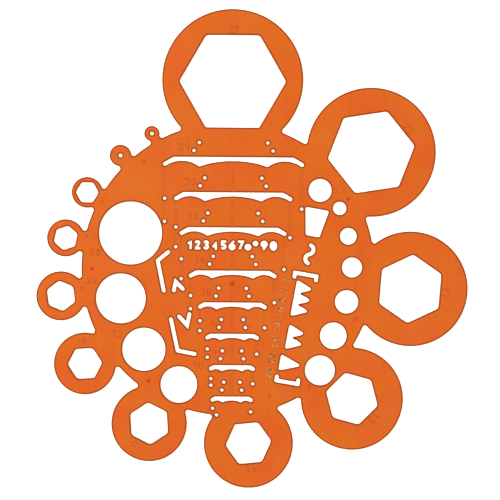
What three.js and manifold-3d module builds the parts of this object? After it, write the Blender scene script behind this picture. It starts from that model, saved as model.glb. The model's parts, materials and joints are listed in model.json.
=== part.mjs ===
// Nut and bolt template: a moulded plastic drawing stencil with a round body, twelve round
// lobes of falling size, and a short line of foil figures stamped on its face.
//
// Millimetres, +Z up. The sheet lies flat on z = 0. +Y runs up the middle line towards the
// largest hexagon and +X to the right. The finished group is shifted so that its origin is
// the middle of its outline. Angles are in degrees, anticlockwise from +X about the body's
// centre.

import * as THREE from 'three';
import { mergeVertices } from 'three/addons/utils/BufferGeometryUtils.js';
import Module from 'manifold-3d';

const wasm = await Module();
wasm.setup();

// Sheet
const SHEET_THICKNESS = 1.2;
const BODY_RADIUS = 44.4;
const VALLEY_FILLET = 0.8;

// Every opening is cut wider than the nut or bolt it draws, to leave room for the pencil.
const PENCIL_ROOM = 1.05;

// Hexagon lobes. flats is the nut's width across flats and land the plastic left outside
// its corners. turn is where the hexagon stands round the body, out how far its middle lies
// outside the body's edge, and face the way one of its flats looks. The largest rim stands a
// little further out than its hexagon.
const NUT_LOBES = [
  { flats: 27, land: 5.2, turn: 89, out: 12.5, face: 90, rimShift: 0.5 },
  { flats: 22, land: 6.25, turn: 39.6, out: 11.6, face: 39 },
  { flats: 17, land: 6.95, turn: -5.8, out: 11.2, face: -4.5 },
  { flats: 13, land: 7.35, turn: -45.9, out: 10, face: -45 },
  { flats: 11, land: 6.55, turn: -82.9, out: 8.8, face: -84 },
  { flats: 10, land: 5.05, turn: -116.6, out: 8.2, face: -116.5 },
  { flats: 8, land: 4.15, turn: -146.1, out: 7.6, face: -146.5 },
  { flats: 7, land: 2.8, turn: -170.4, out: 6.9, face: -172 },
  { flats: 5.5, land: 1.85, turn: 169.6, out: 5.7, face: 168.5 },
  { flats: 5, land: 1.15, turn: 151.9, out: 4.2, face: 148.5 },
];

// The two smallest lobes only have room for a round hole.
const DOT_LOBES = [
  { hole: 1.2, land: 2.65, turn: 133.9, out: 3 },
  { hole: 1.2, land: 1.7, turn: 119.8, out: 2.7 },
];

// Round openings for bolt ends, by the bolt's diameter, each inset from the body's edge.
const BOLT_CIRCLES = [
  { bolt: 18, turn: 160.2, inset: 12.9 },
  { bolt: 14, turn: -164.2, inset: 10.7 },
  { bolt: 12, turn: -135.9, inset: 9.1 },
  { bolt: 10, turn: -112.6, inset: 6.3 },
  { bolt: 8, turn: -47.4, inset: 2.9 },
  { bolt: 7, turn: -32, inset: 6.6 },
  { bolt: 6, turn: -15.1, inset: 7.1 },
  { bolt: 5, turn: 1.1, inset: 6.8 },
  { bolt: 4, turn: 15.6, inset: 6.6 },
  { bolt: 3, turn: 28.9, inset: 5.9 },
  { bolt: 5.9, turn: 40.9, inset: 7.7 },
];

// Side views of bolts down the middle line, by metric coarse thread. top is the height of
// the line across the nut's crown; head, nut and thin are the heights marked below it, and
// label is the size that the foil gives.
const MIDDLE_LINE = 1.4;
const BOLT_VIEWS = [
  { label: '24', bolt: 24, pitch: 3, flats: 36, head: 15, nut: 19, thin: 12, top: 33.3 },
  { label: '20', bolt: 20, pitch: 2.5, flats: 30, head: 13, nut: 16, thin: 10, top: 22.6 },
  { label: '18', bolt: 18, pitch: 2.5, flats: 27, head: 12, nut: 15, thin: 9, top: 11.95 },
  { label: '14', bolt: 14, pitch: 2, flats: 22, head: 9, nut: 11, thin: 7, top: -1.15 },
  { label: '10', bolt: 10, pitch: 1.5, flats: 17, head: 7, nut: 8, thin: 5, top: -10.8 },
  { label: '8', bolt: 8, pitch: 1.25, flats: 13, head: 5.5, nut: 6.5, thin: 4, top: -20.3 },
  { label: '7', bolt: 7, pitch: 1, flats: 11, head: 5, nut: 5.5, thin: 3.5, top: -29.8 },
  { label: '6', bolt: 6, pitch: 1, flats: 10, head: 4, nut: 5, thin: 3, top: -39.3 },
];
const CROWN_SLOT_WIDTH = 1.2;
const CROWN_CHAMFER = 30;
const PIN_HOLE = 1.05;
const SHANK_PIN_RISE = 2.55;
const ROOT_PIN_RISE = 4.95;
const LAST_NUT_PIN_INSET = 1.2;

// Figure stencil: a row of open figures across the middle line, drawn on a grid of squares.
// The first stands left of the middle line, and each step leads on to the next.
const FIGURE_BASE = 5.7;
const FIGURE_HEIGHT = 3;
const FIGURE_SQUARES = 3;
const FIGURE_STROKE = 0.75;
const FIGURE_CORNER = 0.2;
const FIGURE_ORDER = '1234567890';
const FIGURE_START = -13;
const FIGURE_STEPS = [2.25, 2.65, 2.7, 2.55, 2.65, 2.65, 3.25, 3.75, 2.85];

// Drawing symbols to the right, on a line that leans to the right as it climbs.
const SYMBOL_LINE = { x: 23.25, y: -3.65, lean: 9.5 };
const SYMBOL_STROKE = 1.15;
const TAPER = { top: 22.35, height: 8.4, wide: 7.3, narrow: 4.2, corner: 0.5 };
const BREAK_CURVE = { top: 11.15, bottom: 5.65, swing: 1 };
const BRACKET = { span: 6.6, leg: 1.25 };
const UPPER_BRACKET_BACK = 2.15;
const LOWER_BRACKET_BACK = -31;
const TOOTH_PITCH = 3.4;
const TOOTH_VALLEY = -0.25;
const TOOTH_CORNER = 0.42;
const TOOTH_ROWS = [
  { teeth: 3, top: 0.05, shoulder: 2.1, tip: 2.5, base: -2.2 },
  { teeth: 2, top: -13.55, shoulder: 2.1, tip: 2.5, base: -2.15 },
  { teeth: 1, top: -22.9, shoulder: 2.5, tip: 3.2, base: -2.95 },
];

// Open angles to the left: the middle of each stroke, from one end through its corner.
const ANGLE_STROKES = [
  [[-18.15, 5], [-21.35, 2.4], [-19.45, -6.75]],
  [[-16.4, -6.65], [-15.85, -3.95], [-13.7, -6.15]],
  [[-14.7, -14.55], [-12.3, -17.2], [-11.6, -13.8]],
  [[-17.2, -15.35], [-15.1, -24.9], [-9.95, -25.85]],
];

// Foil figures stamped on the face beside the symbol line, read upwards.
const FOIL_THICKNESS = 0.05;
const FOIL_HEIGHT = 2;
const FOIL_WIDTH = 1.25;
const FOIL_STROKE = 0.34;
const FOIL_ACROSS = -5.7;
const FOIL_START = -31;
const FOIL_ADVANCE = 1.75;
const FOIL_SPACE = 1.2;

// Largest gap allowed between an arc and the straight facet that stands for it, and the
// largest share of a tiny arc's radius that the gap may be.
const ARC_TOLERANCE = 0.03;
const ARC_TOLERANCE_SHARE = 0.3;

// A mitre reaches no further than half the stroke's width over this, and a rounded corner
// takes no more than this share of the sides that it joins.
const MITRE_LIMIT = 0.3;
const CORNER_SHARE = 0.45;

const COLOURS = { sheet: 0xe26424, foil: 0xc08a3c };

const radians = THREE.MathUtils.degToRad;
const point = (x, y) => new THREE.Vector2(x, y);

// A point at an angle and distance from a centre.
function polar(centre, degrees, distance) {
  const turn = radians(degrees);
  return point(centre.x + distance * Math.cos(turn), centre.y + distance * Math.sin(turn));
}

// Points along an arc from one angle to another, both ends included.
function arc(centre, radius, from, to) {
  const step = 2 * Math.acos(1 - Math.min(ARC_TOLERANCE / radius, ARC_TOLERANCE_SHARE));
  const count = Math.max(2, Math.ceil(Math.abs(radians(to - from)) / step));
  const points = [];
  for (let i = 0; i <= count; i += 1) {
    points.push(polar(centre, from + ((to - from) * i) / count, radius));
  }
  return points;
}

// A whole circle, or an ellipse where a second radius is given.
function circle(centre, radius, radiusY = radius) {
  const points = arc(point(0, 0), radius, 0, 360).slice(0, -1);
  return points.map((p) => point(centre.x + p.x, centre.y + (p.y * radiusY) / radius));
}

const angleOf = (from, to) => THREE.MathUtils.radToDeg(Math.atan2(to.y - from.y, to.x - from.x));

// A closed solid stood up from a closed outline.
function prism(outline, bottom, height) {
  const extruded = new THREE.ExtrudeGeometry(new THREE.Shape(outline), {
    depth: height,
    bevelEnabled: false,
  });
  extruded.translate(0, 0, bottom);
  extruded.deleteAttribute('normal');
  extruded.deleteAttribute('uv');
  const merged = mergeVertices(extruded, 1e-5);
  return new wasm.Manifold(
    new wasm.Mesh({
      numProp: 3,
      vertProperties: new Float32Array(merged.attributes.position.array),
      triVerts: new Uint32Array(merged.index.array),
    }),
  );
}

const joined = (solids) => solids.reduce((whole, solid) => whole.add(solid));

// A stroke of even width along a bent line, with round ends and mitred bends.
function stroke(line, width) {
  const half = width / 2;
  const count = line.length;
  const left = [];
  const right = [];
  for (let i = 0; i < count; i += 1) {
    const before = line[Math.max(i - 1, 0)];
    const after = line[Math.min(i + 1, count - 1)];
    const here = line[i];
    const into = i > 0 ? here.clone().sub(before).normalize() : after.clone().sub(here).normalize();
    const out = i < count - 1 ? after.clone().sub(here).normalize() : into;
    const across = point(-into.y - out.y, into.x + out.x).normalize();
    const reach = half / Math.max(across.dot(point(-into.y, into.x)), MITRE_LIMIT);
    left.push(here.clone().addScaledVector(across, reach));
    right.push(here.clone().addScaledVector(across, -reach));
  }
  const start = angleOf(line[1], line[0]);
  const end = angleOf(line[count - 2], line[count - 1]);
  const endCap = arc(line[count - 1], half, end - 90, end + 90);
  const startCap = arc(line[0], half, start - 90, start + 90);
  return [...right.slice(1, -1), ...endCap, ...left.slice(1, -1).reverse(), ...startCap];
}

// A round bowl with a straight tail, whose sides leave the bowl where they cross its edge.
function tailedBowl(centre, radius, start, end, width) {
  const along = end.clone().sub(start).normalize();
  const side = point(-along.y, along.x).multiplyScalar(width / 2);
  const leaves = (from) => {
    const offset = from.clone().sub(centre);
    const back = offset.dot(along);
    const reach = Math.sqrt(back ** 2 + radius ** 2 - offset.lengthSq()) - back;
    return from.clone().addScaledVector(along, reach);
  };
  const left = angleOf(centre, leaves(start.clone().add(side)));
  const right = angleOf(centre, leaves(start.clone().sub(side)));
  const sweep = THREE.MathUtils.euclideanModulo(right - left, 360);
  const tip = angleOf(start, end);
  return [...arc(centre, radius, left, left + sweep), ...arc(end, width / 2, tip - 90, tip + 90)];
}

// A polygon with every corner rounded by an arc that touches both of its sides.
function softened(corners, radius) {
  const outline = [];
  corners.forEach((corner, i) => {
    const before = corners[(i + corners.length - 1) % corners.length];
    const after = corners[(i + 1) % corners.length];
    const back = before.clone().sub(corner);
    const on = after.clone().sub(corner);
    const bend = Math.acos(back.clone().normalize().dot(on.clone().normalize())) / 2;
    const room = CORNER_SHARE * Math.min(back.length(), on.length());
    const used = Math.min(radius, room * Math.tan(bend));
    const inward = back.normalize().add(on.normalize()).normalize();
    const centre = corner.clone().addScaledVector(inward, used / Math.sin(bend));
    const from = angleOf(centre, corner) - (90 - THREE.MathUtils.radToDeg(bend));
    const to = from + 180 - 2 * THREE.MathUtils.radToDeg(bend);
    const turnsLeft = back.cross(on) < 0;
    const rounded = arc(centre, used, turnsLeft ? from : to, turnsLeft ? to : from);
    outline.push(...rounded);
  });
  return outline;
}

// Body and lobes: each lobe is a round rim that runs into the body through a fillet on
// either side. The body's outline has a corner wherever a fillet leaves it.
const bodyCentre = point(0, 0);
const acrossCorners = (flats) => flats / Math.cos(radians(30));
const nutCorners = (nut) => acrossCorners(nut.flats + PENCIL_ROOM) / 2;

const rims = [
  ...NUT_LOBES.map((nut) => ({
    turn: nut.turn,
    reach: BODY_RADIUS + nut.out + (nut.rimShift ?? 0),
    radius: nutCorners(nut) + nut.land,
  })),
  ...DOT_LOBES.map((dot) => ({
    turn: dot.turn,
    reach: BODY_RADIUS + dot.out,
    radius: dot.hole / 2 + dot.land,
  })),
];

// The angle at the body's centre between a lobe's middle and the end of its fillet.
function filletTurn(rim) {
  const toFillet = BODY_RADIUS + VALLEY_FILLET;
  const rimToFillet = rim.radius + VALLEY_FILLET;
  const cosine = (toFillet ** 2 + rim.reach ** 2 - rimToFillet ** 2) / (2 * toFillet * rim.reach);
  return THREE.MathUtils.radToDeg(Math.acos(THREE.MathUtils.clamp(cosine, -1, 1)));
}

function lobeOutline(rim) {
  const spread = filletTurn(rim);
  const middle = polar(bodyCentre, rim.turn, rim.reach);
  const right = polar(bodyCentre, rim.turn - spread, BODY_RADIUS + VALLEY_FILLET);
  const left = polar(bodyCentre, rim.turn + spread, BODY_RADIUS + VALLEY_FILLET);
  const rightRim = angleOf(middle, right);
  const leftRim = angleOf(middle, left);
  const sweep = THREE.MathUtils.euclideanModulo(leftRim - rightRim, 360);
  const fromBody = rim.turn - spread + 180;
  const rightFillet = THREE.MathUtils.euclideanModulo(fromBody - rightRim - 180, 360);
  const rightArc = arc(right, VALLEY_FILLET, fromBody, fromBody - rightFillet);
  const rimArc = arc(middle, rim.radius, rightRim, rightRim + sweep);
  const leftArc = arc(left, VALLEY_FILLET, leftRim + 180, leftRim + 180 - rightFillet);
  return [...rightArc, ...rimArc.slice(1, -1), ...leftArc];
}

function bodyOutline() {
  const ends = rims.flatMap((rim) => [rim.turn - filletTurn(rim), rim.turn + filletTurn(rim)]);
  const turns = ends.map((turn) => THREE.MathUtils.euclideanModulo(turn, 360)).sort((a, b) => a - b);
  return turns.flatMap((turn, i) => {
    const next = i + 1 < turns.length ? turns[i + 1] : turns[0] + 360;
    return arc(bodyCentre, BODY_RADIUS, turn, next).slice(0, -1);
  });
}

// Openings for nuts and bolt ends
function hexagon(nut) {
  const middle = polar(bodyCentre, nut.turn, BODY_RADIUS + nut.out);
  return Array.from({ length: 6 }, (_, i) => polar(middle, nut.face + 30 + 60 * i, nutCorners(nut)));
}

const nutOpenings = NUT_LOBES.map(hexagon);
const dotOpenings = DOT_LOBES.map((dot) => {
  const middle = polar(bodyCentre, dot.turn, BODY_RADIUS + dot.out);
  return circle(middle, dot.hole / 2);
});
const boltOpenings = BOLT_CIRCLES.map((end) => {
  const middle = polar(bodyCentre, end.turn, BODY_RADIUS - end.inset);
  return circle(middle, (end.bolt + PENCIL_ROOM) / 2);
});

// Crown slot: a chamfered straight edge above, and below it the three arcs in which the
// chamfer meets the nut's front and side faces.
function crownSlot(view) {
  const half = CROWN_SLOT_WIDTH / 2;
  const corner = acrossCorners(view.flats) / 2;
  const drop = (corner - view.flats / 2) * Math.tan(radians(CROWN_CHAMFER));
  const shoulder = view.flats / 2 + half * Math.tan(radians(CROWN_CHAMFER / 2));
  const side = corner / 4;
  const frontRadius = ((2 * side) ** 2 + drop ** 2) / (2 * drop);
  const sideRadius = (side ** 2 + drop ** 2) / (2 * drop);
  const lean = THREE.MathUtils.radToDeg(Math.asin(side / sideRadius));
  const frontLean = THREE.MathUtils.radToDeg(Math.asin((2 * side) / (frontRadius - half)));
  const rightEnd = point(MIDDLE_LINE + corner, view.top - drop);
  const leftEnd = point(MIDDLE_LINE - corner, view.top - drop);
  const sideArc = (x) => {
    const centre = point(x, view.top - sideRadius);
    const inner = THREE.MathUtils.radToDeg(Math.asin(side / (sideRadius - half)));
    const toLeft = x < MIDDLE_LINE;
    return arc(centre, sideRadius - half, toLeft ? 90 + lean : 90 + inner, toLeft ? 90 - inner : 90 - lean);
  };
  const frontCentre = point(MIDDLE_LINE, view.top - frontRadius);
  const front = arc(frontCentre, frontRadius - half, 90 + frontLean, 90 - frontLean);
  return [
    point(MIDDLE_LINE + shoulder, view.top + half),
    point(MIDDLE_LINE - shoulder, view.top + half),
    ...arc(leftEnd, half, 90 + CROWN_CHAMFER, 270 + lean).slice(0, -1),
    ...sideArc(MIDDLE_LINE - 3 * side),
    ...front.slice(1, -1),
    ...sideArc(MIDDLE_LINE + 3 * side),
    ...arc(rightEnd, half, -90 - lean, 90 - CROWN_CHAMFER).slice(1),
  ];
}

// Pricking holes: the thread's root and outside diameters above each crown, and the nut,
// thin nut and bolt head heights below it, in line with the nut's outer corners.
function pinPlaces(view, isLast) {
  const root = (view.bolt - 1.0825 * view.pitch) / 2;
  const corner = acrossCorners(view.flats) / 2;
  const nutCorner = isLast ? corner - LAST_NUT_PIN_INSET : corner;
  return [
    point(MIDDLE_LINE - root, view.top + ROOT_PIN_RISE),
    point(MIDDLE_LINE + root, view.top + ROOT_PIN_RISE),
    point(MIDDLE_LINE - view.bolt / 2, view.top + SHANK_PIN_RISE),
    point(MIDDLE_LINE + view.bolt / 2, view.top + SHANK_PIN_RISE),
    point(MIDDLE_LINE - corner, view.top - view.thin),
    point(MIDDLE_LINE - nutCorner, view.top - view.nut),
    point(MIDDLE_LINE + corner, view.top - view.head),
  ];
}

const crownOpenings = BOLT_VIEWS.map(crownSlot);
const lastView = BOLT_VIEWS[BOLT_VIEWS.length - 1];
const pins = BOLT_VIEWS.flatMap((view) => pinPlaces(view, view === lastView));
const pinOpenings = pins.map((place) => circle(place, PIN_HOLE / 2));

// Figure stencil: bowls are cut right out, so that no island of plastic falls free, and the
// 8 is two round holes side by side.
function stencilFigure(figure, place) {
  const scale = FIGURE_HEIGHT / FIGURE_SQUARES;
  const at = (x, y) => point(MIDDLE_LINE + place + x * scale, FIGURE_BASE + y * scale);
  const bend = (x, y, radius, from, to) => arc(at(x, y), radius * scale, from, to);
  const line = (...places) => stroke(places, FIGURE_STROKE);
  const bowl = (x, y, across, up = across) => circle(at(x, y), (across * scale) / 2, (up * scale) / 2);
  const tailed = (x, y, across, from, to) => {
    return tailedBowl(at(x, y), (across * scale) / 2, from, to, FIGURE_STROKE);
  };
  const four = [at(0.55, 2.95), at(-1.15, 0.8), at(-0.1, 0.8), at(-0.1, 0), at(0.6, 0)];
  const figures = {
    1: () => [line(at(-0.4, 2.05), at(0.2, 2.35), at(0.2, 0.5))],
    2: () => [line(...bend(0, 2.1, 0.5, 155, -20), at(-0.35, 0.5), at(0.6, 0.5))],
    3: () => [
      line(...bend(-0.05, 2.1, 0.48, 140, -50), at(-0.1, 1.57)),
      line(at(-0.1, 1.57), ...bend(-0.05, 1, 0.53, 50, -140)),
    ],
    4: () => [softened(four, FIGURE_CORNER)],
    5: () => [
      line(at(0.55, 2.6), at(-0.4, 2.6), at(-0.4, 1.65), ...bend(-0.03, 1.05, 0.58, 80, -130)),
    ],
    6: () => [tailed(-0.05, 1, 2.1, at(-0.5, 1.4), at(0.35, 2.55))],
    7: () => [line(at(-0.6, 2.6), at(0.6, 2.6), at(-0.3, 0.5))],
    8: () => [bowl(-1.1, 0.95, 2.03), bowl(1.15, 2.05, 1.67)],
    9: () => [tailed(0.05, 1.85, 2.15, at(0.6, 1.6), at(-0.05, 0.4))],
    0: () => [bowl(0, 1.35, 2.25, 2.95)],
  };
  return figures[figure]();
}

let figurePlace = FIGURE_START;
const figureOpenings = [...FIGURE_ORDER].flatMap((figure, i) => {
  const outlines = stencilFigure(figure, figurePlace);
  figurePlace += FIGURE_STEPS[i] ?? 0;
  return outlines;
});

// Symbols: places are given across and up the leaning line.
function onSymbolLine(across, up) {
  const lean = radians(SYMBOL_LINE.lean);
  const x = SYMBOL_LINE.x + across * Math.cos(lean) + up * Math.sin(lean);
  const y = SYMBOL_LINE.y - across * Math.sin(lean) + up * Math.cos(lean);
  return point(x, y);
}

function taperOutline() {
  const bottom = TAPER.top - TAPER.height;
  const corners = [
    onSymbolLine(-TAPER.wide / 2, TAPER.top),
    onSymbolLine(-TAPER.narrow / 2, bottom),
    onSymbolLine(TAPER.narrow / 2, bottom),
    onSymbolLine(TAPER.wide / 2, TAPER.top),
  ];
  return softened(corners, TAPER.corner);
}

// The break curve swings once to each side between its ends, on two equal arcs.
function breakCurve() {
  const halfChord = (BREAK_CURVE.top - BREAK_CURVE.bottom) / 4;
  const radius = (halfChord ** 2 + BREAK_CURVE.swing ** 2) / (2 * BREAK_CURVE.swing);
  const spread = THREE.MathUtils.radToDeg(Math.acos((radius - BREAK_CURVE.swing) / radius));
  const inset = radius - BREAK_CURVE.swing;
  const upperCentre = onSymbolLine(-inset, BREAK_CURVE.top - halfChord);
  const lowerCentre = onSymbolLine(inset, BREAK_CURVE.bottom + halfChord);
  const right = -SYMBOL_LINE.lean;
  const upper = arc(upperCentre, radius, right + spread, right - spread);
  const lower = arc(lowerCentre, radius, right + 180 - spread, right + 180 + spread);
  return stroke([...upper, ...lower.slice(1)], SYMBOL_STROKE);
}

function bracket(back, direction) {
  const half = BRACKET.span / 2;
  const legs = back + direction * BRACKET.leg;
  const line = [
    onSymbolLine(-half, legs),
    onSymbolLine(-half, back),
    onSymbolLine(half, back),
    onSymbolLine(half, legs),
  ];
  return stroke(line, SYMBOL_STROKE);
}

// A row of finish marks: triangles that share a straight back edge.
function toothRow(row) {
  const corners = [];
  for (let i = 0; i < row.teeth; i += 1) {
    const tip = row.top - row.shoulder - i * TOOTH_PITCH;
    if (i > 0) corners.push(onSymbolLine(TOOTH_VALLEY, tip + TOOTH_PITCH / 2));
    corners.push(onSymbolLine(row.tip, tip));
  }
  const bottom = row.top - 2 * row.shoulder - (row.teeth - 1) * TOOTH_PITCH;
  corners.push(onSymbolLine(row.base, bottom), onSymbolLine(row.base, row.top));
  return softened(corners.reverse(), TOOTH_CORNER);
}

const symbolOpenings = [
  taperOutline(),
  breakCurve(),
  bracket(UPPER_BRACKET_BACK, -1),
  bracket(LOWER_BRACKET_BACK, 1),
  ...TOOTH_ROWS.map(toothRow),
  ...ANGLE_STROKES.map((line) => stroke(line.map(([x, y]) => point(x, y)), SYMBOL_STROKE)),
];

// Sheet: the body and lobes joined, with every opening cut through
const blank = joined([bodyOutline(), ...rims.map(lobeOutline)].map((o) => prism(o, 0, SHEET_THICKNESS)));
const cutters = [
  ...nutOpenings,
  ...dotOpenings,
  ...boltOpenings,
  ...crownOpenings,
  ...pinOpenings,
  ...figureOpenings,
  ...symbolOpenings,
].map((outline) => prism(outline, -SHEET_THICKNESS, 3 * SHEET_THICKNESS));
const sheet = blank.subtract(joined(cutters));

// Foil figures: the bolt sizes of the side views, each figure one flat island of foil
function foilFigure(figure, up) {
  const half = FOIL_WIDTH / 2;
  const edge = FOIL_STROKE / 2;
  const at = (x, y) => onSymbolLine(FOIL_ACROSS - (y - 0.5) * FOIL_HEIGHT, up + x * half);
  const inset = 1 - edge / half;
  const low = edge / FOIL_HEIGHT;
  const high = 1 - low;
  const line = (...places) => [stroke(places.map(([x, y]) => at(x, y)), FOIL_STROKE)];
  const ring = (y, rise, width = inset) => {
    const places = Array.from({ length: 13 }, (_, i) => {
      const turn = (2 * Math.PI * i) / 12;
      return at(width * Math.sin(turn), y + rise * Math.cos(turn));
    });
    return [stroke(places.slice(0, 7), FOIL_STROKE), stroke(places.slice(6), FOIL_STROKE)];
  };
  const figures = {
    0: ring(0.5, 0.5 - low),
    1: line([-0.4, 0.72], [0.1, high], [0.1, low]),
    2: line([-0.7, 0.75], [-0.35, high], [0.35, high], [inset, 0.7], [-inset, low], [inset, low]),
    4: [...line([0.4, low], [0.4, high], [-inset, 0.33]), ...line([-inset, 0.33], [inset, 0.33])],
    6: [...ring(0.31, 0.31 - low), ...line([0.5, high], [-0.2, 0.75], [-inset, 0.36])],
    7: line([-inset, high], [inset, high], [-0.2, low]),
    8: [...ring(0.29, 0.29 - low), ...ring(0.75, 0.25 - low, 0.85 * inset)],
  };
  return joined(figures[figure].map((o) => prism(o, SHEET_THICKNESS, FOIL_THICKNESS)));
}

function meshOf(solid, name, colour, roughness, metalness) {
  const { vertProperties, triVerts } = solid.getMesh();
  const geometry = new THREE.BufferGeometry();
  geometry.setAttribute('position', new THREE.BufferAttribute(vertProperties, 3));
  geometry.setIndex(new THREE.BufferAttribute(triVerts, 1));
  geometry.computeVertexNormals();
  const material = new THREE.MeshStandardMaterial({ color: colour, roughness, metalness });
  const mesh = new THREE.Mesh(geometry, material);
  mesh.name = name;
  return mesh;
}

const template = new THREE.Group();
template.add(meshOf(sheet, 'template_sheet', COLOURS.sheet, 0.35, 0));

let foilUp = FOIL_START;
for (const view of BOLT_VIEWS) {
  [...view.label].forEach((figure, i) => {
    const solid = foilFigure(figure, foilUp + FOIL_ADVANCE / 2);
    template.add(meshOf(solid, `foil_${view.label}_figure_${i + 1}`, COLOURS.foil, 0.3, 0.9));
    foilUp += FOIL_ADVANCE;
  });
  foilUp += FOIL_SPACE;
}

// The origin is under the middle of the outline.
const extent = new THREE.Box3().setFromObject(template);
const middle = extent.getCenter(new THREE.Vector3());
template.position.set(-middle.x, -middle.y, 0);

export default template;
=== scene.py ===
import json
import math
from itertools import chain

import bpy
import numpy as np
from mathutils.geometry import delaunay_2d_cdt
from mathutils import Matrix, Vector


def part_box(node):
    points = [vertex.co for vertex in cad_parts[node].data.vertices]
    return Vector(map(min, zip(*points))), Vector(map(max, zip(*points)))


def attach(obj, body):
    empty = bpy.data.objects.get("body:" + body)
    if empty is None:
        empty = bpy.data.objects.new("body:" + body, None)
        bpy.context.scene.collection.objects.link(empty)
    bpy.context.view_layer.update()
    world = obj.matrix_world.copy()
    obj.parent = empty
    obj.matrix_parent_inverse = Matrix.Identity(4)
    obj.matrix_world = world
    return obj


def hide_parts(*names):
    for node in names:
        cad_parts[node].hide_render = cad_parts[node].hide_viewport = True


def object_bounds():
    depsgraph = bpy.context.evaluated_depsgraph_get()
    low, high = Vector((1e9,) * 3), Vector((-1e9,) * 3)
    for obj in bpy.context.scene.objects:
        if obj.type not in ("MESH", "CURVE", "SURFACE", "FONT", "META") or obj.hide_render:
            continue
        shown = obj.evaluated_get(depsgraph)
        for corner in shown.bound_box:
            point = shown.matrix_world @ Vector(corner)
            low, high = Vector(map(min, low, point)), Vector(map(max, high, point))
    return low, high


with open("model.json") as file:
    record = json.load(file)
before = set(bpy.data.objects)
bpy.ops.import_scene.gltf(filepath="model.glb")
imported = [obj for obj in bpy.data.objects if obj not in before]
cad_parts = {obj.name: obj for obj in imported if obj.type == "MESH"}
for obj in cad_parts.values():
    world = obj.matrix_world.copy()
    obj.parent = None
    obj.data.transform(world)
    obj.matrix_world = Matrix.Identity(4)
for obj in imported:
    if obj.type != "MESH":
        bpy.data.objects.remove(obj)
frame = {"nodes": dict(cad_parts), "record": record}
cad_low, cad_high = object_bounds()

# Camera
# The template is seen straight from above and a little askew, from so far away that hardly any
# side wall shows. The middle of the picture lies just beside the middle of the sheet.
MM = 0.001
PHOTO_SIDE = 500
PIXEL = 0.303 * MM
VIEW_MIDDLE = np.array([-0.698, -0.474]) * MM
VIEW_TURN = math.radians(0.44)
LENS = 120
SENSOR = 36


def from_photo(pixels):
    """Where points of the photograph, in pixels right and down, lie on the sheet, in metres.

    The offset from the picture's middle, times the size of a pixel, turned by the camera's turn.
    """
    offset = (np.asarray(pixels, dtype=float) - PHOTO_SIDE / 2) * (PIXEL, -PIXEL)
    across = np.array([math.cos(VIEW_TURN), math.sin(VIEW_TURN)])
    upward = np.array([-math.sin(VIEW_TURN), math.cos(VIEW_TURN)])
    return VIEW_MIDDLE + offset[:, :1] * across + offset[:, 1:] * upward


camera = bpy.data.objects.new("camera", bpy.data.cameras.new("camera"))
camera.data.lens = LENS
camera.data.sensor_width = SENSOR
camera.location = (*VIEW_MIDDLE, cad_high.z + PHOTO_SIDE * PIXEL * LENS / SENSOR)
camera.rotation_euler = (0, 0, VIEW_TURN)
bpy.context.scene.collection.objects.link(camera)
bpy.context.scene.camera = camera

# Template sheet
# One moulded sheet of orange plastic makes up the whole template. Its edges and openings come
# out of the mould slightly rounded, and every line on its face is pressed in with them.
SHEET_NODE = "template_sheet"
FUSE = 1e-4
LEAST_SIDE = 0.03
EVEN_CHORDS = 0.01
EVEN_LOOP = 1.6
GENTLE_TURN = math.radians(48)
TIGHT_TURN = math.radians(95)
TINY_CHORD = 0.6
ARC_SAG = 0.004
LONGEST_STEP = 0.7
SHARP_TURN = math.radians(25)
CORNER_ROUND = 1.8
WIDEST_WEAR = 0.8
HEXAGON_POINTS = 8
CORNER_STEPS = 5
HEXAGON_WORN = 0.17
MOST_WORN = 0.45
TOOTH_ROW_PIXELS = [(300.8, 298.1), (294.2, 336.7), (289.2, 362.5)]
TOOTH_VALLEY_PIXELS = [(303.8, 293.7), (301, 304.7), (295, 337.5)]
TOOTH_GROWTH = (1.1, 1.02)
VALLEY_SHIFT = (-0.85, 0.03)
VALLEY_REACH = 1.5
EDGE_ROUND = 0.09
SHARPEST_MITRE = 0.35
MOST_CLOSED = 0.8
SMALL_OPENING = 4
SMALL_ROUND = 0.5
BLOCK_POINTS = 500


def round_trip(starts, count):
    """For points kept loop after loop, the index of each one's next and last neighbour."""
    onward = np.arange(count) + 1
    onward[np.append(starts[1:], count) - 1] = starts
    back = np.empty_like(onward)
    back[onward] = np.arange(count)
    return onward, back


def top_outlines(node):
    """The outlines of a flat node's top face in millimetres, plastic on their left, loop after loop.

    An edge that only one top triangle has is on an outline, and leads from each point to the next.
    Doubling those steps again and again gives each point the first point of its loop, and then its
    distance from it, which together put the points in order.
    """
    corners = np.empty(3 * len(node.data.vertices))
    node.data.vertices.foreach_get("co", corners)
    faces = np.empty(len(node.data.loops), dtype=int)
    node.data.loops.foreach_get("vertex_index", faces)
    grid = np.round(corners.reshape(-1, 3) / (FUSE * MM)).astype(int)
    grid, fused = np.unique(grid, axis=0, return_inverse=True)
    faces = fused.ravel()[faces].reshape(-1, 3)
    faces = faces[(grid[faces, 2] == grid[:, 2].max()).all(axis=1)]
    edges = np.vstack([faces[:, [0, 1]], faces[:, [1, 2]], faces[:, [2, 0]]])
    both_ways = np.isin(edges @ (len(grid), 1), edges @ (1, len(grid)))
    edges = edges[~both_ways]
    itself = np.arange(len(grid))
    onward = itself.copy()
    onward[edges[:, 0]] = edges[:, 1]
    doublings = math.ceil(math.log2(len(grid)))
    first, leap = itself.copy(), onward.copy()
    for _ in range(doublings):
        first = np.minimum(first, first[leap])
        leap = leap[leap]
    leap = np.where(first == itself, itself, onward)
    steps = (first != itself).astype(int)
    for _ in range(doublings):
        steps = steps + steps[leap]
        leap = leap[leap]
    order = edges[:, 0][np.lexsort((-steps[edges[:, 0]], first[edges[:, 0]]))]
    starts = np.flatnonzero(np.diff(first[order], prepend=-1))
    return grid[order, :2] * FUSE, starts


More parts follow.
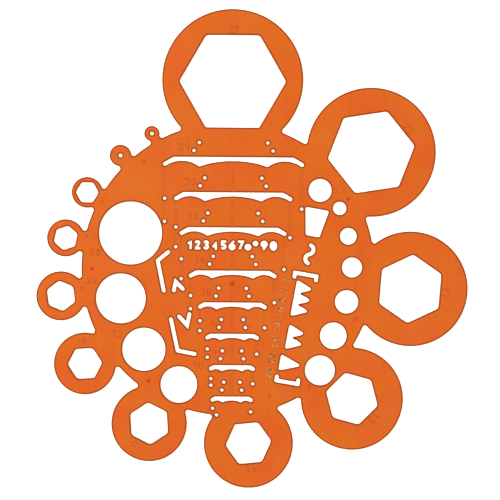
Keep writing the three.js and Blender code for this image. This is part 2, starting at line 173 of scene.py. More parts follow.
def without_tiny_sides(points, starts):
    """The outlines without the points that lie almost on the one before them."""
    _, back = round_trip(starts, len(points))
    kept = np.hypot(*(points - points[back]).T) > LEAST_SIDE
    return points[kept], np.cumsum(kept)[starts] - kept[starts]


def rounded_outlines(points, starts):
    """Finer outlines through the same points, with each run of even chords made an arc again.

    A chord c that turns by 2b lies on an arc of radius c / (2 sin b). At a share s of that arc the
    point is 1/2 + sin((2s - 1) b) / (2 sin b) along the chord and stands (cos((2s - 1) b) - cos b) /
    (2 sin b) off it, both in chord lengths.
    """
    onward, back = round_trip(starts, len(points))
    loop = np.repeat(np.arange(len(starts)), np.diff(np.append(starts, len(points))))
    chord = points[onward] - points
    length = np.hypot(*chord.T)
    heading = np.arctan2(chord[:, 1], chord[:, 0])
    turn = (heading - heading[back] + math.pi) % (2 * math.pi) - math.pi
    unevenness = np.maximum.reduceat(length, starts) / np.minimum.reduceat(length, starts)
    one_way = np.abs(np.add.reduceat(np.sign(turn), starts)) == np.bincount(loop)
    mild = np.maximum.reduceat(np.abs(turn), starts) < GENTLE_TURN
    oval = (unevenness < EVEN_LOOP) & one_way & mild
    even = np.abs(length - length[back]) < EVEN_CHORDS * length
    tight = (np.abs(turn) < TIGHT_TURN) & (length < TINY_CHORD)
    smooth = (even & ((np.abs(turn) < GENTLE_TURN) | tight)) | oval[loop]
    from_start = smooth * turn * length / (length + length[back])
    from_end = smooth[onward] * turn[onward] * length / (length + length[onward])
    known = np.maximum(smooth.astype(int) + smooth[onward], 1)
    bend = (from_start + from_end) / known
    straight = np.abs(bend) < FUSE
    bend[straight] = 1
    radius = length / (2 * np.sin(np.abs(bend)))
    arc_steps = np.abs(bend) / np.arccos(1 - np.minimum(ARC_SAG / radius, 1))
    steps = np.maximum(np.ceil(length / LONGEST_STEP), np.ceil(np.where(straight, 1, arc_steps)))
    steps = steps.astype(int)
    chosen = np.repeat(np.arange(len(points)), steps)
    ends = np.cumsum(steps)
    share = (np.arange(ends[-1]) - (ends - steps)[chosen]) / steps[chosen]
    swing = (2 * share - 1) * bend[chosen]
    twice_sine = 2 * np.sin(bend[chosen])
    along = np.where(straight[chosen], share, 0.5 + np.sin(swing) / twice_sine)
    off = np.where(straight[chosen], 0, (np.cos(swing) - np.cos(bend[chosen])) / twice_sine)
    across = chord[chosen][:, ::-1] * (1, -1)
    fine = points[chosen] + along[:, None] * chord[chosen] + off[:, None] * across
    return fine, (ends - steps)[starts]


def curved_teeth(points, starts):
    """The outlines with the three rows of finish marks a little wider and their teeth curved.

    A point at a distance r from a valley between two teeth goes (1 - (r / reach)^2)^2 of the way
    that the valley itself goes.
    """
    loop = np.repeat(np.arange(len(starts)), np.diff(np.append(starts, len(points))))
    middles = (np.minimum.reduceat(points, starts) + np.maximum.reduceat(points, starts)) / 2
    gaps = middles[:, None] - from_photo(TOOTH_ROW_PIXELS) / MM
    rows = np.hypot(*gaps.T).T.argmin(axis=0)
    growth = np.where(np.isin(loop, rows)[:, None], TOOTH_GROWTH, 1)
    grown = middles[loop] + (points - middles[loop]) * growth
    gaps = grown[:, None] - from_photo(TOOTH_VALLEY_PIXELS) / MM
    pull = np.maximum(1 - (gaps ** 2).sum(axis=2) / VALLEY_REACH ** 2, 0) ** 2
    return grown + pull.sum(axis=1, keepdims=True) * VALLEY_SHIFT


def softened_corners(points, starts, most_points, most_worn):
    """The outlines with each sharp corner worn to a small curve, on loops of so many points or less.

    The wear starts no further from a corner than a share, the most worn, of its shorter side.
    A corner p becomes a (1 - s)^2 + 2 p s (1 - s) + b s^2, with a and b on its two sides.
    """
    loop_points = np.diff(np.append(starts, len(points)))
    onward, back = round_trip(starts, len(points))
    side = points[onward] - points
    length = np.hypot(*side.T)
    heading = np.arctan2(side[:, 1], side[:, 0])
    turn = np.abs((heading - heading[back] + math.pi) % (2 * math.pi) - math.pi)
    cut = np.minimum(CORNER_ROUND * np.tan(turn / 2), WIDEST_WEAR)
    cut = np.minimum(cut, most_worn * np.minimum(length, length[back]))
    before = points - side[back] * (cut / length[back])[:, None]
    after = points + side * (cut / length)[:, None]
    sharp = (turn > SHARP_TURN) & np.repeat(loop_points <= most_points, loop_points)
    steps = np.where(sharp, CORNER_STEPS, 1)
    chosen = np.repeat(np.arange(len(points)), steps)
    ends = np.cumsum(steps)
    share = ((np.arange(ends[-1]) - (ends - steps)[chosen]) / (CORNER_STEPS - 1))[:, None]
    curve = before[chosen] * (1 - share) ** 2 + after[chosen] * share ** 2
    curve += 2 * points[chosen] * share * (1 - share)
    return np.where(sharp[chosen, None], curve, points[chosen]), (ends - steps)[starts]


def inward_normals(points, starts):
    """The unit step into the plastic from each side of the outlines, as (-y, x) of its direction."""
    side = points[round_trip(starts, len(points))[0]] - points
    return side[:, ::-1] * (-1, 1) / np.hypot(*side.T)[:, None]


def inward_mitres(points, starts):
    """At each point, the step that moves both sides of its outline a millimetre into the plastic.

    With the two sides' unit normals m and n it is (m + n) / (1 + m . n). It is shortened where a
    short side would close up before the rounded edge ends.
    """
    onward, back = round_trip(starts, len(points))
    side = points[onward] - points
    normal = inward_normals(points, starts)
    together = 1 + np.sum(normal * normal[back], axis=1, keepdims=True)
    mitre = (normal + normal[back]) / np.maximum(together, SHARPEST_MITRE)
    closing = np.sum((mitre - mitre[onward]) * side, axis=1) * EDGE_ROUND / np.sum(side ** 2, axis=1)
    ease = np.maximum(closing / MOST_CLOSED, 1)
    return mitre / np.maximum(ease, ease[back])[:, None]


def nearest(places, others):
    """The distance from each place to the nearest of the other points, taken a block at a time."""
    blocks = np.array_split(places, 1 + len(places) // BLOCK_POINTS)
    return np.concatenate([
        np.sqrt(((block[:, None] - others) ** 2).sum(axis=2).min(axis=1)) for block in blocks
    ])


def in_plastic(places):
    """True where a place has an odd number of outline edges straight to its right."""
    start, end = outline[:, None], outline[round_trip(loops, len(outline))[0], None]
    spans = (start[..., 1] > places[:, 1]) != (end[..., 1] > places[:, 1])
    rise = np.where(spans, end[..., 1] - start[..., 1], 1)
    crossing = start[..., 0] + (places[:, 1] - start[..., 1]) * (end[..., 0] - start[..., 0]) / rise
    return (spans & (crossing > places[:, 0])).sum(axis=0) % 2 == 1


cad_outline, cad_loops = without_tiny_sides(*top_outlines(frame["nodes"][SHEET_NODE]))
worn_outline, worn_loops = softened_corners(cad_outline, cad_loops, HEXAGON_POINTS, HEXAGON_WORN)
fine_outline, fine_loops = rounded_outlines(worn_outline, worn_loops)
outline = curved_teeth(fine_outline, fine_loops)
outline, loops = softened_corners(outline, fine_loops, len(outline), MOST_WORN)
outline = np.clip(outline, cad_outline.min(axis=0), cad_outline.max(axis=0))
spans = np.maximum.reduceat(outline, loops) - np.minimum.reduceat(outline, loops)
rounding = np.where(spans.max(axis=1) < SMALL_OPENING, SMALL_ROUND, 1)
rounding = np.repeat(rounding, np.diff(np.append(loops, len(outline))))
mitres = inward_mitres(outline, loops) * rounding[:, None]

# Marks on the face
# Thin lines run down the middle of the bolt views and along the sides of their nuts. Plain size
# figures stand beside the openings, and the mould's pins leave small round dents. All are shallow.
PENCIL_ROOM = 1.05
PIN_HOLE = 1.05
PIN_TOLERANCE = 0.06
PIN_ALIGNMENT = 0.15
LOWEST_PIN = 20
PIN_ROW_REACH = 0.4
PIN_ROW_HEIGHT = 3
PIN_ROWS_APART = 2.4
CROWN_WIDTH = 1.2
SHORTEST_CROWN = 10
CROWN_FLATNESS = 4
BODY_MIDDLE = np.array([-7.33, -6.25])
LINE_DEPTH = 0.02
FIGURE_DEPTH = 0.01
LINE_WIDTH = 0.8
LINE_SLOPE = 0.2
LINE_SHADE = 1
LINE_GAP = 0.3
LINE_SCAN = 0.1
LINE_STEPS = 8
SHORTEST_LINE = 10
STROKE_END_POINTS = 7
RING_POINTS = 17
FIGURE_STROKE = 0.14
FIGURE_SLOPE = 0.05
FIGURE_SHADE = 0.6
FIGURE_ADVANCE = 0.78
LARGE_FIGURE = 2.3
SMALL_FIGURE = 1.7
SMALLEST_LARGE = 9.5
MARK_CLEARANCE = 0.25
BESIDE_OPENING = 0.6
BESIDE_STEP = 15
DENT_DEPTH = 0.04
DENT_FLAT = 0.4
DENT_CLEARANCE = 1.7
DENT_POINTS = 19
DENT_PIXELS = [(144, 162.6), (86.8, 236.4), (92.4, 268.8), (232.2, 283.6), (148.6, 380.8), (356, 319),
               (348.5, 199), (269.5, 396)]
DENT_RADII = [0.8, 0.6, 0.8, 1.2, 0.8, 1.2, 0.8, 0.9]
DENT_TINTS = [0.6, 0.9, 1, 0.9, 0.9, 0.5, 1, 0.4]

marks = []


def mark(points, drop, groove, dent=0):
    """Keeps one closed line of the face with its depth and how far it counts as groove or dent, which set
    the painted groove shade and the dent's red.
    """
    level = np.tile((drop, groove, dent), (len(points), 1))
    marks.append(np.hstack([points, level]))


def moved_sideways(path, distance, closed):
    """A path moved to its left: each point goes along the mean of its two sides' normals."""
    side = np.roll(path, -1, axis=0) - path
    normal = side[:, ::-1] * (-1, 1) / np.hypot(*side.T)[:, None]
    before = np.roll(normal, 1, axis=0)
    if not closed:
        normal[-1] = before[-1]
        before[0] = normal[0]
    together = 1 + np.sum(normal * before, axis=1, keepdims=True)
    return path + distance * (normal + before) / np.maximum(together, SHARPEST_MITRE)


def half_circle(centre, towards, radius):
    """Points round the end of a stroke, from its right side to its left."""
    heading = math.atan2(towards[1], towards[0])
    turns = heading + np.linspace(-math.pi / 2, math.pi / 2, STROKE_END_POINTS)
    return centre + radius * np.column_stack([np.cos(turns), np.sin(turns)])


def cut_stroke(path, width, slope, depth, shade, closed=False):
    """A groove along a path: its outline on the face, and the same outline drawn in by the slope. The
    drawn-in outline takes the shade as its groove value, for the painted shade on the slopes.
    """
    path = np.asarray(path, dtype=float)
    for half, drop, groove in ((width / 2, 0, 0), (width / 2 - slope, depth, shade)):
        left = moved_sideways(path, half, closed)
        right = moved_sideways(path, -half, closed)
        if closed:
            mark(left, drop, groove)
            mark(right, drop, groove)
        else:
            head = half_circle(path[-1], path[-1] - path[-2], half)
            tail = half_circle(path[0], path[0] - path[1], half)
            mark(np.vstack([right[1:-1], head, left[-2:0:-1], tail]), drop, groove)


def bow(x, y, across, up, start, end, steps):
    """Points on an ellipse about (x, y) from one angle to another, in degrees."""
    turns = np.radians(np.linspace(start, end, steps))
    return np.column_stack([x + across * np.cos(turns), y + up * np.sin(turns)])


def ring(x, y, across, up):
    """A whole ellipse about (x, y), as a closed stroke."""
    return bow(x, y, across, up, 0, 360, RING_POINTS)[:-1], True


def line(*stretches):
    """Points and bows one after the other, as an open stroke."""
    return np.vstack([np.reshape(stretch, (-1, 2)) for stretch in stretches]), False


def upside_down(strokes):
    """Strokes after half a turn about the middle of their figure, where (x, y) is (-x, 1 - y)."""
    return [((0, 1) - path, closed) for path, closed in strokes]


SIX = [ring(0, 0.3, 0.24, 0.23), line((-0.16, 0.74), (0.12, 0.94))]
FIGURES = {
    "0": [ring(0, 0.5, 0.24, 0.43)],
    "1": [line((-0.2, 0.74), (0.04, 0.93), (0.04, 0.07))],
    "2": [line(bow(0, 0.69, 0.24, 0.24, 165, -35, 7), (-0.23, 0.07), (0.25, 0.07))],
    "3": [line((-0.22, 0.93), (0.22, 0.93), (-0.02, 0.58), bow(0, 0.31, 0.24, 0.24, 65, -150, 7))],
    "4": [line((-0.08, 0.93), (-0.26, 0.34), (-0.02, 0.34)), line((0.17, 0.62), (0.17, 0.07))],
    "5": [line((0.22, 0.93), (-0.17, 0.93), (-0.2, 0.55), bow(0, 0.32, 0.25, 0.25, 105, -145, 7))],
    "6": SIX,
    "7": [line((-0.24, 0.93), (0.24, 0.93), (-0.06, 0.07))],
    "8": [ring(0, 0.77, 0.2, 0.15), ring(0, 0.27, 0.24, 0.19)],
    "9": upside_down(SIX),
    ".": [ring(0, 0.12, 0.08, 0.08)],
}


def write_size(text, middle, height, lean=0):
    """Cuts a plain number into the face, its middle at a place and its top turned by the lean."""
    turn = np.array([[math.cos(lean), math.sin(lean)], [-math.sin(lean), math.cos(lean)]])
    for place, figure in enumerate(text):
        shift = np.array([(place - (len(text) - 1) / 2) * FIGURE_ADVANCE, -0.5])
        for path, closed in FIGURES[figure]:
            path = middle + (path + shift) * height @ turn
            stroke, slope = FIGURE_STROKE * height, FIGURE_SLOPE * height
            cut_stroke(path, stroke, slope, FIGURE_DEPTH, FIGURE_SHADE, closed)


def write_beside(text, centre, radius, height):
    """Cuts a number where the plastic round an opening leaves it the most room, if that is enough."""
    size = np.array([FIGURE_ADVANCE * len(text), 1]) * height
    turns = np.radians(np.arange(90, 450, BESIDE_STEP))
    ways = np.column_stack([np.cos(turns), np.sin(turns)])
    away = radius + BESIDE_OPENING + np.abs(ways) @ size / 2
    places = centre + away[:, None] * ways
    kept = np.vstack([outline] + [points[:, :2] for points in marks])
    room = np.where(in_plastic(places), nearest(places, kept), 0)
    best = np.argmax(room)
    if room[best] > np.hypot(*size) / 2 + MARK_CLEARANCE:
        write_size(text, places[best], height)


opening_middles = {}
for opening in frame["record"]["physics"]["openings"]:
    shape, _, size = opening["name"].partition("_")
    if size.replace("_", "").isdigit():
        middle = np.mean(opening["box_m"], axis=0)[:2] / MM
        opening_middles[shape, size.replace("_", ".")] = middle

loop_counts = np.diff(np.append(cad_loops, len(cad_outline)))
loop_middles = np.add.reduceat(cad_outline, cad_loops) / loop_counts[:, None]
loop_low = np.minimum.reduceat(cad_outline, cad_loops)
loop_high = np.maximum.reduceat(cad_outline, cad_loops)
loop_span = loop_high - loop_low
pins = loop_middles[np.abs(loop_span - PIN_HOLE).max(axis=1) < PIN_TOLERANCE]
flat = loop_span[:, 0] > CROWN_FLATNESS * loop_span[:, 1]
crowns = np.flatnonzero(flat & (loop_span[:, 0] > SHORTEST_CROWN))
crowns = crowns[np.argsort(-loop_high[crowns, 1])]
middle_line = (loop_low[crowns, 0] + loop_high[crowns, 0]).mean() / 2
dents = from_photo(DENT_PIXELS) / MM


def cut_line(x, low, high):
    """Cuts an upright line between two heights, wherever plastic leaves room for it."""
    heights = np.arange(low, high, LINE_SCAN)
    places = np.column_stack([np.full(len(heights), x), heights])
    clear = in_plastic(places) & (nearest(places, outline) > LINE_WIDTH / 2 + LINE_GAP)
    clear &= nearest(places, dents) > DENT_CLEARANCE
    stretches = np.flatnonzero(np.diff(clear.astype(int), prepend=0, append=0)).reshape(-1, 2)
    for start, end in stretches[stretches[:, 1] - stretches[:, 0] > SHORTEST_LINE]:
        cut_stroke(places[start:end:LINE_STEPS], LINE_WIDTH, LINE_SLOPE, LINE_DEPTH, LINE_SHADE)


cut_line(middle_line, loop_high[crowns[-1], 1], loop_low[crowns[0], 1])
for crown in crowns:
    ends = loop_low[crown, 0] + CROWN_WIDTH / 2, loop_high[crown, 0] - CROWN_WIDTH / 2
    for x in ends:
        below = loop_low[crown, 1] - pins[:, 1]
        in_line = (np.abs(pins[:, 0] - x) < PIN_ALIGNMENT) & (below > 0) & (below < LOWEST_PIN)
        if in_line.any():
            cut_line(x, pins[in_line, 1].min(), loop_low[crown, 1])

round_dent = bow(0, 0, 1, 1, 0, 360, DENT_POINTS)[:-1]
for middle, radius, tint in zip(dents, DENT_RADII, DENT_TINTS):
    circle = radius * round_dent
    mark(middle + circle, 0, 0)
    mark(middle + DENT_FLAT * circle, DENT_DEPTH, 0, tint)

for crown in crowns:
    above = pins[:, 1] - loop_high[crown, 1]
    near = np.abs(pins[:, 0] - middle_line) < PIN_ROW_REACH * loop_span[crown, 0]
    row = pins[near & (above > 0) & (above < PIN_ROW_HEIGHT)]
    text = str(round(np.ptp(row[:, 0])))
    height = LARGE_FIGURE if float(text) > SMALLEST_LARGE else SMALL_FIGURE
    left = row[:, 0].min() - PIN_HOLE / 2 - BESIDE_OPENING - FIGURE_ADVANCE * len(text) * height / 2
    write_size(text, np.array([left, row[0, 1] + PIN_ROWS_APART / 2]), height)

for (shape, text), middle in opening_middles.items():
    width = float(text) + PENCIL_ROOM
    height = LARGE_FIGURE if float(text) > SMALLEST_LARGE else SMALL_FIGURE
    if shape == "circle":
        write_beside(text, middle, width / 2, height)
    elif float(text) > SMALLEST_LARGE:
        outward = (middle - BODY_MIDDLE) / np.hypot(*(middle - BODY_MIDDLE))
        away = width / 2 + BESIDE_OPENING + height / 2
        write_size(text, middle + away * outward, height, math.atan2(outward[1], outward[0]) - math.pi / 2)
    else:
        write_beside(text, middle, width / 2 / math.cos(math.pi / 6), height)

# Sheet mesh
# The moulded shape itself: side walls with rounded edges carried round every outline, and two
# faces filled in between them. The upper face takes in the marks, which sink below it.
EDGE_STEPS = 3
EDGE_FADE = 0.55
FADE_CLEARANCE = 0.95
FADE_FROM_MARKS = 0.12
FADE_SPACING = 0.08
SHORTEST_MEAN = 0.55
MEETING = 1e-6

sheet_low, sheet_high = (corner.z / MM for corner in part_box(SHEET_NODE))


def filled(points, starts, solid_loops):
    """Triangles over the plastic between the first loops, with all the loops kept as edges.

    A triangle in an opening lies in two of the filled loops, the outer one and the opening's own,
    so the ones that lie in a single loop are the plastic. Points that are added where edges cross
    come from none of the given ones, and are numbered after them.
    """
    looped = starts[-1]
    onward, _ = round_trip(starts[:-1], looped)
    edges = np.column_stack([np.arange(looped), onward])
    loop_faces = [
        list(range(start, end)) if turns_left else list(range(end - 1, start - 1, -1))
        for start, end, turns_left in zip(starts[:solid_loops], starts[1:], areas > 0)
    ]
    places, _, triangles, sources, _, owners = delaunay_2d_cdt(
        points.tolist(), edges.tolist(), loop_faces, 0, MEETING, True
    )
    known = np.fromiter(map(len, sources), dtype=int)
    given = np.append(np.fromiter(chain.from_iterable(sources), dtype=int), -1)
    source = np.where(known > 0, given[np.cumsum(known) - known], -1)
    owned = np.fromiter(map(len, owners), dtype=int)
    crossings = np.array(places)[source < 0]
    source[source < 0] = len(points) + np.arange(len(crossings))
    return source[np.array(triangles)[owned == 1]], crossings


count = len(outline)
onward, back = round_trip(loops, count)
areas = np.add.reduceat(outline[:, 0] * outline[onward, 1] - outline[onward, 0] * outline[:, 1], loops)
quarter = np.linspace(0, math.pi / 2, EDGE_STEPS + 1)
insets = EDGE_ROUND * (1 - np.cos(quarter))
drops = EDGE_ROUND * (1 - np.sin(quarter))
insets = np.concatenate([insets[::-1], insets])
levels = np.concatenate([sheet_low + drops[::-1], sheet_high - drops])
rings = outline + insets[:, None, None] * mitres
rings = np.dstack([rings, np.broadcast_to(levels[:, None], rings.shape[:2])]).reshape(-1, 3)

mark_points = np.vstack(marks)
# Points about half a millimetre inside the outlines, where the painted edge shade has faded out.
normals = inward_normals(outline, loops)
between = normals + normals[back]
between = between / np.maximum(np.hypot(*between.T), SHORTEST_MEAN)[:, None]
fade = (outline + EDGE_FADE * np.stack([normals, normals[back], between])).reshape(-1, 2)
fade = fade[nearest(fade, outline) > FADE_CLEARANCE * EDGE_FADE]
fade = fade[nearest(fade, mark_points[:, :2]) > FADE_FROM_MARKS]
_, first = np.unique(np.round(fade / FADE_SPACING), axis=0, return_index=True)
fade = fade[np.sort(first)]

solid = len(loops)
mark_starts = count + np.concatenate([[0], np.cumsum([len(points) for points in marks])])
top_ring = len(rings) - count
low_points = np.vstack([rings[:count, :2], fade])
low_faces, _ = filled(low_points, np.append(loops, count), solid)
high_points = np.vstack([rings[top_ring:, :2], mark_points[:, :2], fade])
high_faces, crossings = filled(high_points, np.concatenate([loops, mark_starts]), solid)
crossing_gaps = np.hypot(*(crossings[:, None] - mark_points[:, :2]).T).T
crossing_depths = mark_points[crossing_gaps.argmin(axis=1), 2:]

low_fade = np.column_stack([fade, np.full(len(fade), sheet_low)])
high_fade = np.column_stack([fade, np.full(len(fade), sheet_high)])
sunk = np.column_stack([mark_points[:, :2], sheet_high - mark_points[:, 2]])
crossed = np.column_stack([crossings, sheet_high - crossing_depths[:, 0]])
vertices = np.vstack([rings, low_fade, sunk, high_fade, crossed])
low_count = len(rings) + len(fade)
low_index = np.append(np.arange(count), np.arange(len(rings), low_count))
high_index = np.append(np.arange(top_ring, len(rings)), np.arange(low_count, len(vertices)))
step = count * np.arange(len(levels) - 1)[:, None]
near, far = step + np.arange(count), step + onward
walls = np.stack([near, far, far + count, near + count], axis=2).reshape(-1, 4)
triangles = np.vstack([low_index[low_faces[:, ::-1]], high_index[high_faces]])

mesh = bpy.data.meshes.new("moulded_sheet")
mesh.from_pydata((vertices * MM).tolist(), [], walls.tolist() + triangles.tolist())
mesh.polygons.foreach_set("use_smooth", np.arange(len(mesh.polygons)) < len(walls))
# The edge value, 1 on the walls and rounded edges and 0 at the fade points, carries the painted edge
# shade.
masks = np.zeros((len(vertices), 3))
masks[:len(rings), 0] = 1
masks[low_count:low_count + len(mark_points), 1:] = mark_points[:, 3:]
masks[len(vertices) - len(crossings):, 1:] = crossing_depths[:, 1:]
for name, values in zip(("edge", "groove", "dent"), masks.T):
    mesh.attributes.new(name, "FLOAT", "POINT").data.foreach_set("value", values)
mesh.update()
sheet = bpy.data.objects.new("moulded_sheet", mesh)
bpy.context.scene.collection.objects.link(sheet)
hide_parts(SHEET_NODE)
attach(sheet, "root")

# Orange plastic
# Glossy moulded plastic, tinted right through. It flows into the mould with faint clouds and streaks,
# and is lightly scratched by use. Its edges and the slopes of its pressed lines get painted shade:
# brown mixed into the colour where the rounded edges and grooves would fall into shadow.
ORANGE = (233, 101, 32)
PALE_ORANGE = (231, 112, 27)
STREAK_BROWN = (212, 88, 24)
SPECK_BROWN = (176, 58, 22)
GROOVE_SHADE_BROWN = (130, 44, 10)
DENT_RED = (208, 47, 4)
EDGE_SHADE_BROWN = (158, 62, 20)


def linear(red, green, blue):
    """A screen colour, 0 to 255, as the light that a shader works in."""
    share = np.array([red, green, blue]) / 255
    return (*np.where(share < 0.04045, share / 12.92, ((share + 0.055) / 1.055) ** 2.4), 1)


def add_node(tree, kind, inputs=None, **settings):
    """Adds a shader node. Its inputs, by name or place, are given a value or joined to a socket."""
    node = tree.nodes.new(kind)
    for name, value in settings.items():
        setattr(node, name, value)
    for name, value in (inputs or {}).items():
        if isinstance(value, bpy.types.NodeSocket):
            tree.links.new(value, node.inputs[name])
        else:
            node.inputs[name].default_value = value
    return node


def calculate(tree, operation, *values):
    """One sum of values or sockets, such as MULTIPLY or ADD."""
    inputs = dict(enumerate(values))
    return add_node(tree, "ShaderNodeMath", inputs, operation=operation).outputs[0]


def mixed(tree, share, first, second):
    """The first colour where the share is 0, turning into the second where it is 1."""
    node = add_node(tree, "ShaderNodeMix", data_type="RGBA")
    for socket, value in zip((node.inputs[0], node.inputs[6], node.inputs[7]), (share, first, second)):
        if isinstance(value, bpy.types.NodeSocket):
            tree.links.new(value, socket)
        else:
            socket.default_value = value
    return node.outputs[2]


def spread(tree, value, low, high, start=0, end=1):
    """A value between low and high, stretched to run from start to end and held there."""
    inputs = {"Value": value, "From Min": low, "From Max": high, "To Min": start, "To Max": end}
    return add_node(tree, "ShaderNodeMapRange", inputs).outputs[0]


def noise(tree, places, sizes, turn=0, detail=2):
    """Soft noise whose blotches are so many millimetres across in X and Y, turned by an angle."""
    scale = tuple(1 / (size * MM) for size in (*sizes, min(sizes)))
    inputs = {"Vector": places, "Rotation": (0, 0, turn), "Scale": scale}
    mapping = add_node(tree, "ShaderNodeMapping", inputs)
    inputs = {"Vector": mapping.outputs[0], "Scale": 1, "Detail": detail}
    return add_node(tree, "ShaderNodeTexNoise", inputs).outputs["Fac"]


def handling_group():
    """Marks of use on a flat face: soft smudges, and fine scratches that run in two directions."""
    tree = bpy.data.node_groups.new("handling", "ShaderNodeTree")
    tree.interface.new_socket("Places", in_out="INPUT", socket_type="NodeSocketVector")
    tree.interface.new_socket("Smudge", in_out="OUTPUT", socket_type="NodeSocketFloat")
    tree.interface.new_socket("Scratch", in_out="OUTPUT", socket_type="NodeSocketFloat")
    places = add_node(tree, "NodeGroupInput").outputs["Places"]
    smudge = spread(tree, noise(tree, places, (9, 6), detail=4), 0.4, 0.7)
    one_way = spread(tree, noise(tree, places, (7, 0.09), 0.5), 0.66, 0.72)
    other_way = spread(tree, noise(tree, places, (5, 0.07), -1), 0.68, 0.73)
    scratch = calculate(tree, "MAXIMUM", one_way, other_way)
    add_node(tree, "NodeGroupOutput", {"Smudge": smudge, "Scratch": scratch})
    return tree


handling = handling_group()


def new_material(name):
    """A material with its node tree, its surface shader, and places on the object for patterns."""
    material = bpy.data.materials.new(name)
    material.use_nodes = True
    tree = material.node_tree
    shader = next(node for node in tree.nodes if node.type == "BSDF_PRINCIPLED")
    places = add_node(tree, "ShaderNodeTexCoord").outputs["Object"]
    return material, tree, shader, places


def mask(tree, name):
    """How far each point of the sheet counts as edge, groove or dent; the edge and groove values place
    painted shade.
    """
    return add_node(tree, "ShaderNodeAttribute", attribute_name=name).outputs["Fac"]


plastic, tree, shader, places = new_material("orange_plastic")
cloud = spread(tree, noise(tree, places, (14, 11), detail=3), 0.35, 0.65)
colour = mixed(tree, cloud, linear(*ORANGE), linear(*PALE_ORANGE))
streak = spread(tree, noise(tree, places, (0.8, 26), detail=3), 0.35, 0.7)
colour = mixed(tree, calculate(tree, "MULTIPLY", streak, 0.18), colour, linear(*STREAK_BROWN))
speck = spread(tree, noise(tree, places, (0.55, 0.7), detail=1), 0.72, 0.78)
colour = mixed(tree, calculate(tree, "MULTIPLY", speck, 0.6), colour, linear(*SPECK_BROWN))
# Painted shade on the pressed lines and figures: brown mixed in where 4 g (1 - g) of the groove value g
# peaks, on the slopes of the lines and through the bottom of the figures.
slope = mask(tree, "groove")
slope = calculate(tree, "MULTIPLY", slope, calculate(tree, "SUBTRACT", 1, slope))
slope = calculate(tree, "MULTIPLY", slope, 4)
dent = mask(tree, "dent")
colour = mixed(tree, calculate(tree, "MULTIPLY", slope, 0.4), colour, linear(*GROOVE_SHADE_BROWN))
colour = mixed(tree, calculate(tree, "MULTIPLY", dent, 0.8), colour, linear(*DENT_RED))
# Painted shade: a brown band on the walls and rounded edges that fades out about half a millimetre into
# the face.
colour = mixed(tree, spread(tree, mask(tree, "edge"), 0, 0.55), colour, linear(*EDGE_SHADE_BROWN))
used = add_node(tree, "ShaderNodeGroup", node_tree=handling)
tree.links.new(places, used.inputs["Places"])
roughness = calculate(tree, "MULTIPLY_ADD", used.outputs["Smudge"], 0.08, 0.2)
roughness = calculate(tree, "MULTIPLY_ADD", used.outputs["Scratch"], 0.12, roughness)
ripple = noise(tree, places, (2.5, 3.5), detail=2)
relief = calculate(tree, "MULTIPLY_ADD", used.outputs["Scratch"], -0.08, ripple)
bump = add_node(tree, "ShaderNodeBump", {"Height": relief, "Strength": 0.12, "Distance": 0.05 * MM})
tree.links.new(colour, shader.inputs["Base Color"])
tree.links.new(roughness, shader.inputs["Roughness"])
tree.links.new(bump.outputs[0], shader.inputs["Normal"])
shader.inputs["IOR"].default_value = 1.49
shader.inputs["Specular IOR Level"].default_value = 0.4
sheet.data.materials.append(plastic)

# Foil figures
# Plain bolt sizes beside the drawing symbols, hot-stamped on the face in dull gold foil. The foil
# is thin, so it has worn through in places and lets the orange show.
OLIVE_GOLD = (100, 74, 24)
PALE_GOLD = (236, 180, 102)
WORN_THROUGH = (208, 96, 34)

gold, tree, shader, places = new_material("gold_foil")
wear = noise(tree, places, (0.55, 0.5), detail=4)
bare = spread(tree, wear, 0.54, 0.62)
tone = spread(tree, noise(tree, places, (0.5, 0.5), detail=2), 0.42, 0.57)
colour = mixed(tree, tone, linear(*OLIVE_GOLD), linear(*PALE_GOLD))
colour = mixed(tree, calculate(tree, "MULTIPLY", bare, 0.6), colour, linear(*WORN_THROUGH))
used = add_node(tree, "ShaderNodeGroup", node_tree=handling)
tree.links.new(places, used.inputs["Places"])
roughness = calculate(tree, "MULTIPLY_ADD", used.outputs["Scratch"], 0.15, 0.36)
metal = spread(tree, bare, 0, 1, 0.35, 0)
bump = add_node(tree, "ShaderNodeBump", {"Height": wear, "Strength": 0.35, "Distance": 0.04 * MM})
tree.links.new(colour, shader.inputs["Base Color"])
tree.links.new(metal, shader.inputs["Metallic"])
tree.links.new(roughness, shader.inputs["Roughness"])
tree.links.new(bump.outputs[0], shader.inputs["Normal"])
for name, node in frame["nodes"].items():
    if name.startswith("foil_"):
        for slot in node.material_slots:
            slot.material = gold

# Table
# A plain white table top that the template lies on. It shows white to the camera and in
# reflections and still keeps the template's shadow. Near the template its glow is cream, painted
# warm light through the orange plastic that shows in the openings and in the shadow.
TABLE_SIZE = 4
TABLE_DROP = 0.05 * MM
GLOW = 0.9
GLOW_NEAR = 0.12
GLOW_FAR = 0.5
TABLE_WHITE = (236, 232, 226)
WARM_LIGHT_CREAM = (255, 243, 218)
WHITE = (255, 255, 255)

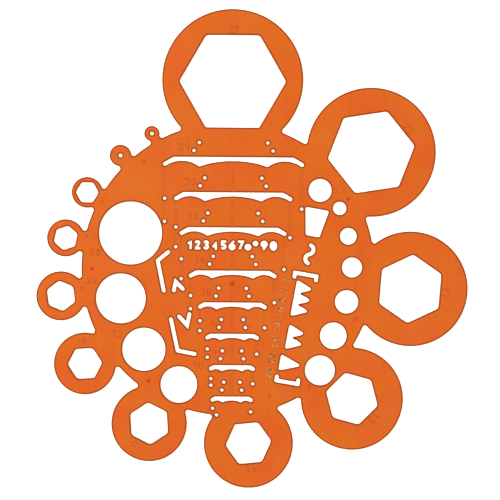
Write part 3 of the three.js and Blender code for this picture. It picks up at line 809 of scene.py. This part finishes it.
half = TABLE_SIZE / 2
corners = [(x * half, y * half, -TABLE_DROP) for x, y in ((-1, -1), (1, -1), (1, 1), (-1, 1))]
table_mesh = bpy.data.meshes.new("table")
table_mesh.from_pydata(corners, [], [(0, 1, 2, 3)])
table = bpy.data.objects.new("table", table_mesh)
bpy.context.scene.collection.objects.link(table)
paper = bpy.data.materials.new("white_table")
paper.use_nodes = True
tree = paper.node_tree
tree.nodes.clear()
path = add_node(tree, "ShaderNodeLightPath").outputs
seen = calculate(tree, "MAXIMUM", path["Is Camera Ray"], path["Is Glossy Ray"])
seen = calculate(tree, "MAXIMUM", seen, path["Is Transmission Ray"])
diffuse = add_node(tree, "ShaderNodeBsdfDiffuse", {"Color": linear(*TABLE_WHITE)})
places = add_node(tree, "ShaderNodeTexCoord").outputs["Object"]
distance = add_node(tree, "ShaderNodeVectorMath", {0: places}, operation="LENGTH").outputs["Value"]
far_off = spread(tree, distance, GLOW_NEAR, GLOW_FAR)
# Painted light: the glow is cream near the template and white further off. It stands in for warm light
# through the orange plastic and shows where the shadow dims the table.
tint = mixed(tree, far_off, linear(*WARM_LIGHT_CREAM), linear(*WHITE))
strength = calculate(tree, "MULTIPLY", seen, spread(tree, distance, GLOW_NEAR, GLOW_FAR, GLOW, 1))
glow = add_node(tree, "ShaderNodeEmission", {"Color": tint, "Strength": strength})
both = add_node(tree, "ShaderNodeAddShader", {0: diffuse.outputs[0], 1: glow.outputs[0]})
add_node(tree, "ShaderNodeOutputMaterial", {"Surface": both.outputs[0]})
table.data.materials.append(paper)

# Studio light
# Two large soft lamps, the stronger one from the upper left as in the photograph, and a pale
# room all round that is dimmer overhead. Both hang high, so low views of the sheet stay orange.
LAMPS = [
    {"name": "key", "side": 0.7, "place": (-0.75, 0.35, 1.15), "watts": 15.4},
    {"name": "fill", "side": 0.8, "place": (0.72, -0.48, 1.2), "watts": 7.7},
]
ROOM_HORIZON = 0.4
ROOM_OVERHEAD = 0.12
ROOM_DIMMEST_FROM = 0.45

for lamp in LAMPS:
    light = bpy.data.lights.new(lamp["name"], "AREA")
    light.shape = "SQUARE"
    light.size = lamp["side"]
    light.energy = lamp["watts"]
    holder = bpy.data.objects.new(lamp["name"], light)
    holder.location = lamp["place"]
    holder.rotation_euler = holder.location.to_track_quat("Z", "Y").to_euler()
    bpy.context.scene.collection.objects.link(holder)

world = bpy.data.worlds.new("room")
world.use_nodes = True
bpy.context.scene.world = world
tree = world.node_tree
background = next(node for node in tree.nodes if node.type == "BACKGROUND")
directions = add_node(tree, "ShaderNodeTexCoord").outputs["Generated"]
parts = add_node(tree, "ShaderNodeSeparateXYZ", {0: directions})
strength = spread(tree, parts.outputs["Z"], 0, ROOM_DIMMEST_FROM, ROOM_HORIZON, ROOM_OVERHEAD)
tree.links.new(strength, background.inputs["Strength"])
background.inputs["Color"].default_value = linear(*WHITE)
bpy.context.scene.view_settings.view_transform = "Standard"
